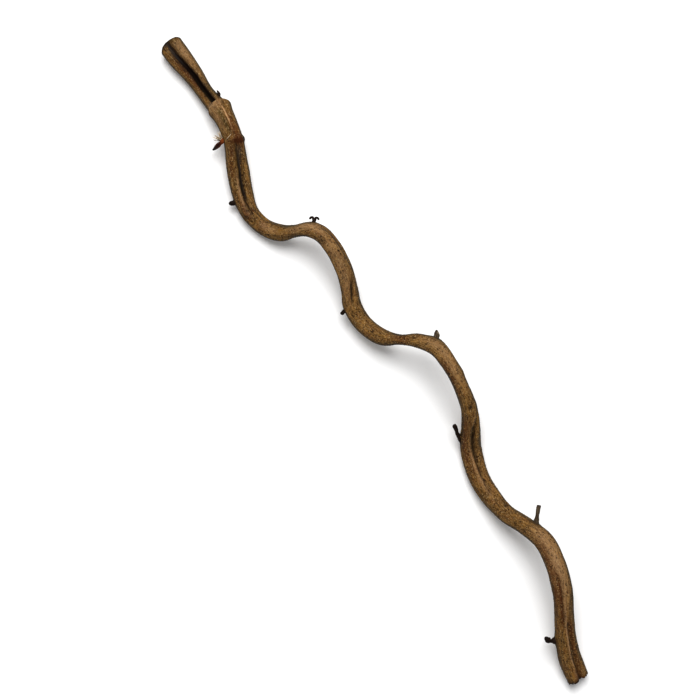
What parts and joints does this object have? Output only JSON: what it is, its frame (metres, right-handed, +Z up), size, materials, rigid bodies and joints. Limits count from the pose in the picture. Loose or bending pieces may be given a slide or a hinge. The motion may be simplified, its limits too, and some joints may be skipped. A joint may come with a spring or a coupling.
{
  "type": "dried liana stem",
  "caption": "Twisting dried vine stem with cut and broken ends, short twig stubs and deep lengthwise grooves, for lying on a surface or in a display.",
  "frame": {"origin": "centre of the bounding box's bottom face, on the surface that the stem lies on", "axes": "+X runs from the sawn end to the broken end, +Y is the side that the straight cut twig points to, +Z is up"},
  "size_m": [0.3783, 0.0528, 0.0332],
  "materials": {
    "bark": "dry bark, tan and mid brown with red-brown bands, fine lengthwise fibres and pale and dark specks, nearly black in the grooves and on the twig stubs",
    "dried_leaf": "papery dried leaf base, dark red-brown with a grey tip"
  },
  "bodies": {
    "root": {"stem": "bark", "dried_leaf_base": "dried_leaf"}
  },
  "joints": []
}
